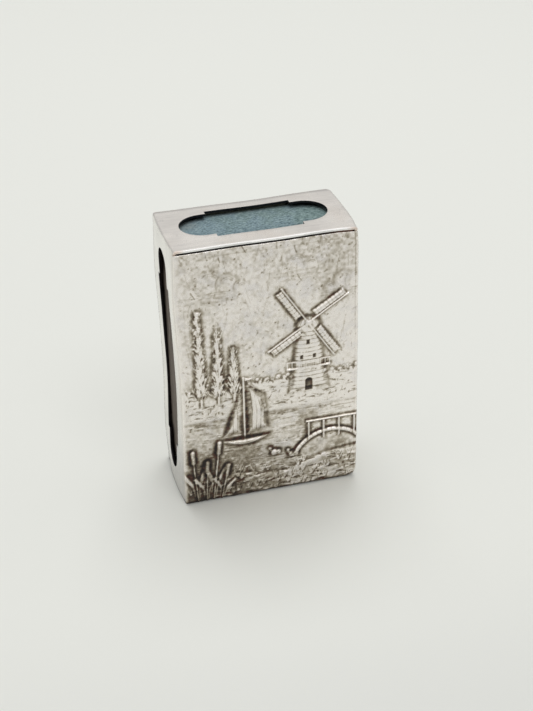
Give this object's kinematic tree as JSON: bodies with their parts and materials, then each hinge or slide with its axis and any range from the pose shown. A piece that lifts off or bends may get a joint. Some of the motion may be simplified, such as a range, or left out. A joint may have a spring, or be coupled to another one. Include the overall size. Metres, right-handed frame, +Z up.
{
  "type": "matchbox holder",
  "caption": "Upright silver case round a matchbox: slotted band, stamped landscape front, plain back and open lower end, with a sleeve and a tray of matches that slide out downwards.",
  "frame": {"origin": "under the middle of the whole object, on the surface that its open end stands on", "axes": "+Z up from the open end to the closed top end, -Y out of the stamped front, +X to the right when facing the stamped front"},
  "size_m": [0.0364, 0.019, 0.058],
  "materials": {
    "silver": "polished silver sheet with fine brush scratches",
    "dull_silver": "stamped silver sheet, worn on the high parts and brown in the recesses",
    "solder": "dull reddish silver solder",
    "card": "bare thin card",
    "label_paper": "uncoated paper",
    "striker": "rough brown striking coat",
    "aspen": "split aspen, not varnished",
    "tray_paper": "fibrous blue-grey wrapping paper",
    "match_head": "dull dipped coat"
  },
  "bodies": {
    "holder": {"band": "silver", "front_panel": "dull_silver", "back_panel": "silver", "front_solder": "solder", "back_solder": "solder"},
    "sleeve": {"sleeve_card_shell": "card", "sleeve_paper": "label_paper", "front_label": "label_paper", "back_label": "label_paper", "left_striker": "striker", "right_striker": "striker"},
    "tray": {"tray_frame": "aspen", "tray_base": "aspen", "tray_paper": "tray_paper", "match_sticks": "aspen", "match_heads": "match_head"}
  },
  "joints": [
    {"name": "matchbox_slide", "type": "slide", "parent": "holder", "child": "sleeve", "axis": [0, 0, -1], "range_m": [0, 0.0575]},
    {"name": "tray_slide", "type": "slide", "parent": "sleeve", "child": "tray", "axis": [0, 0, -1], "range_m": [0, 0.053]}
  ]
}
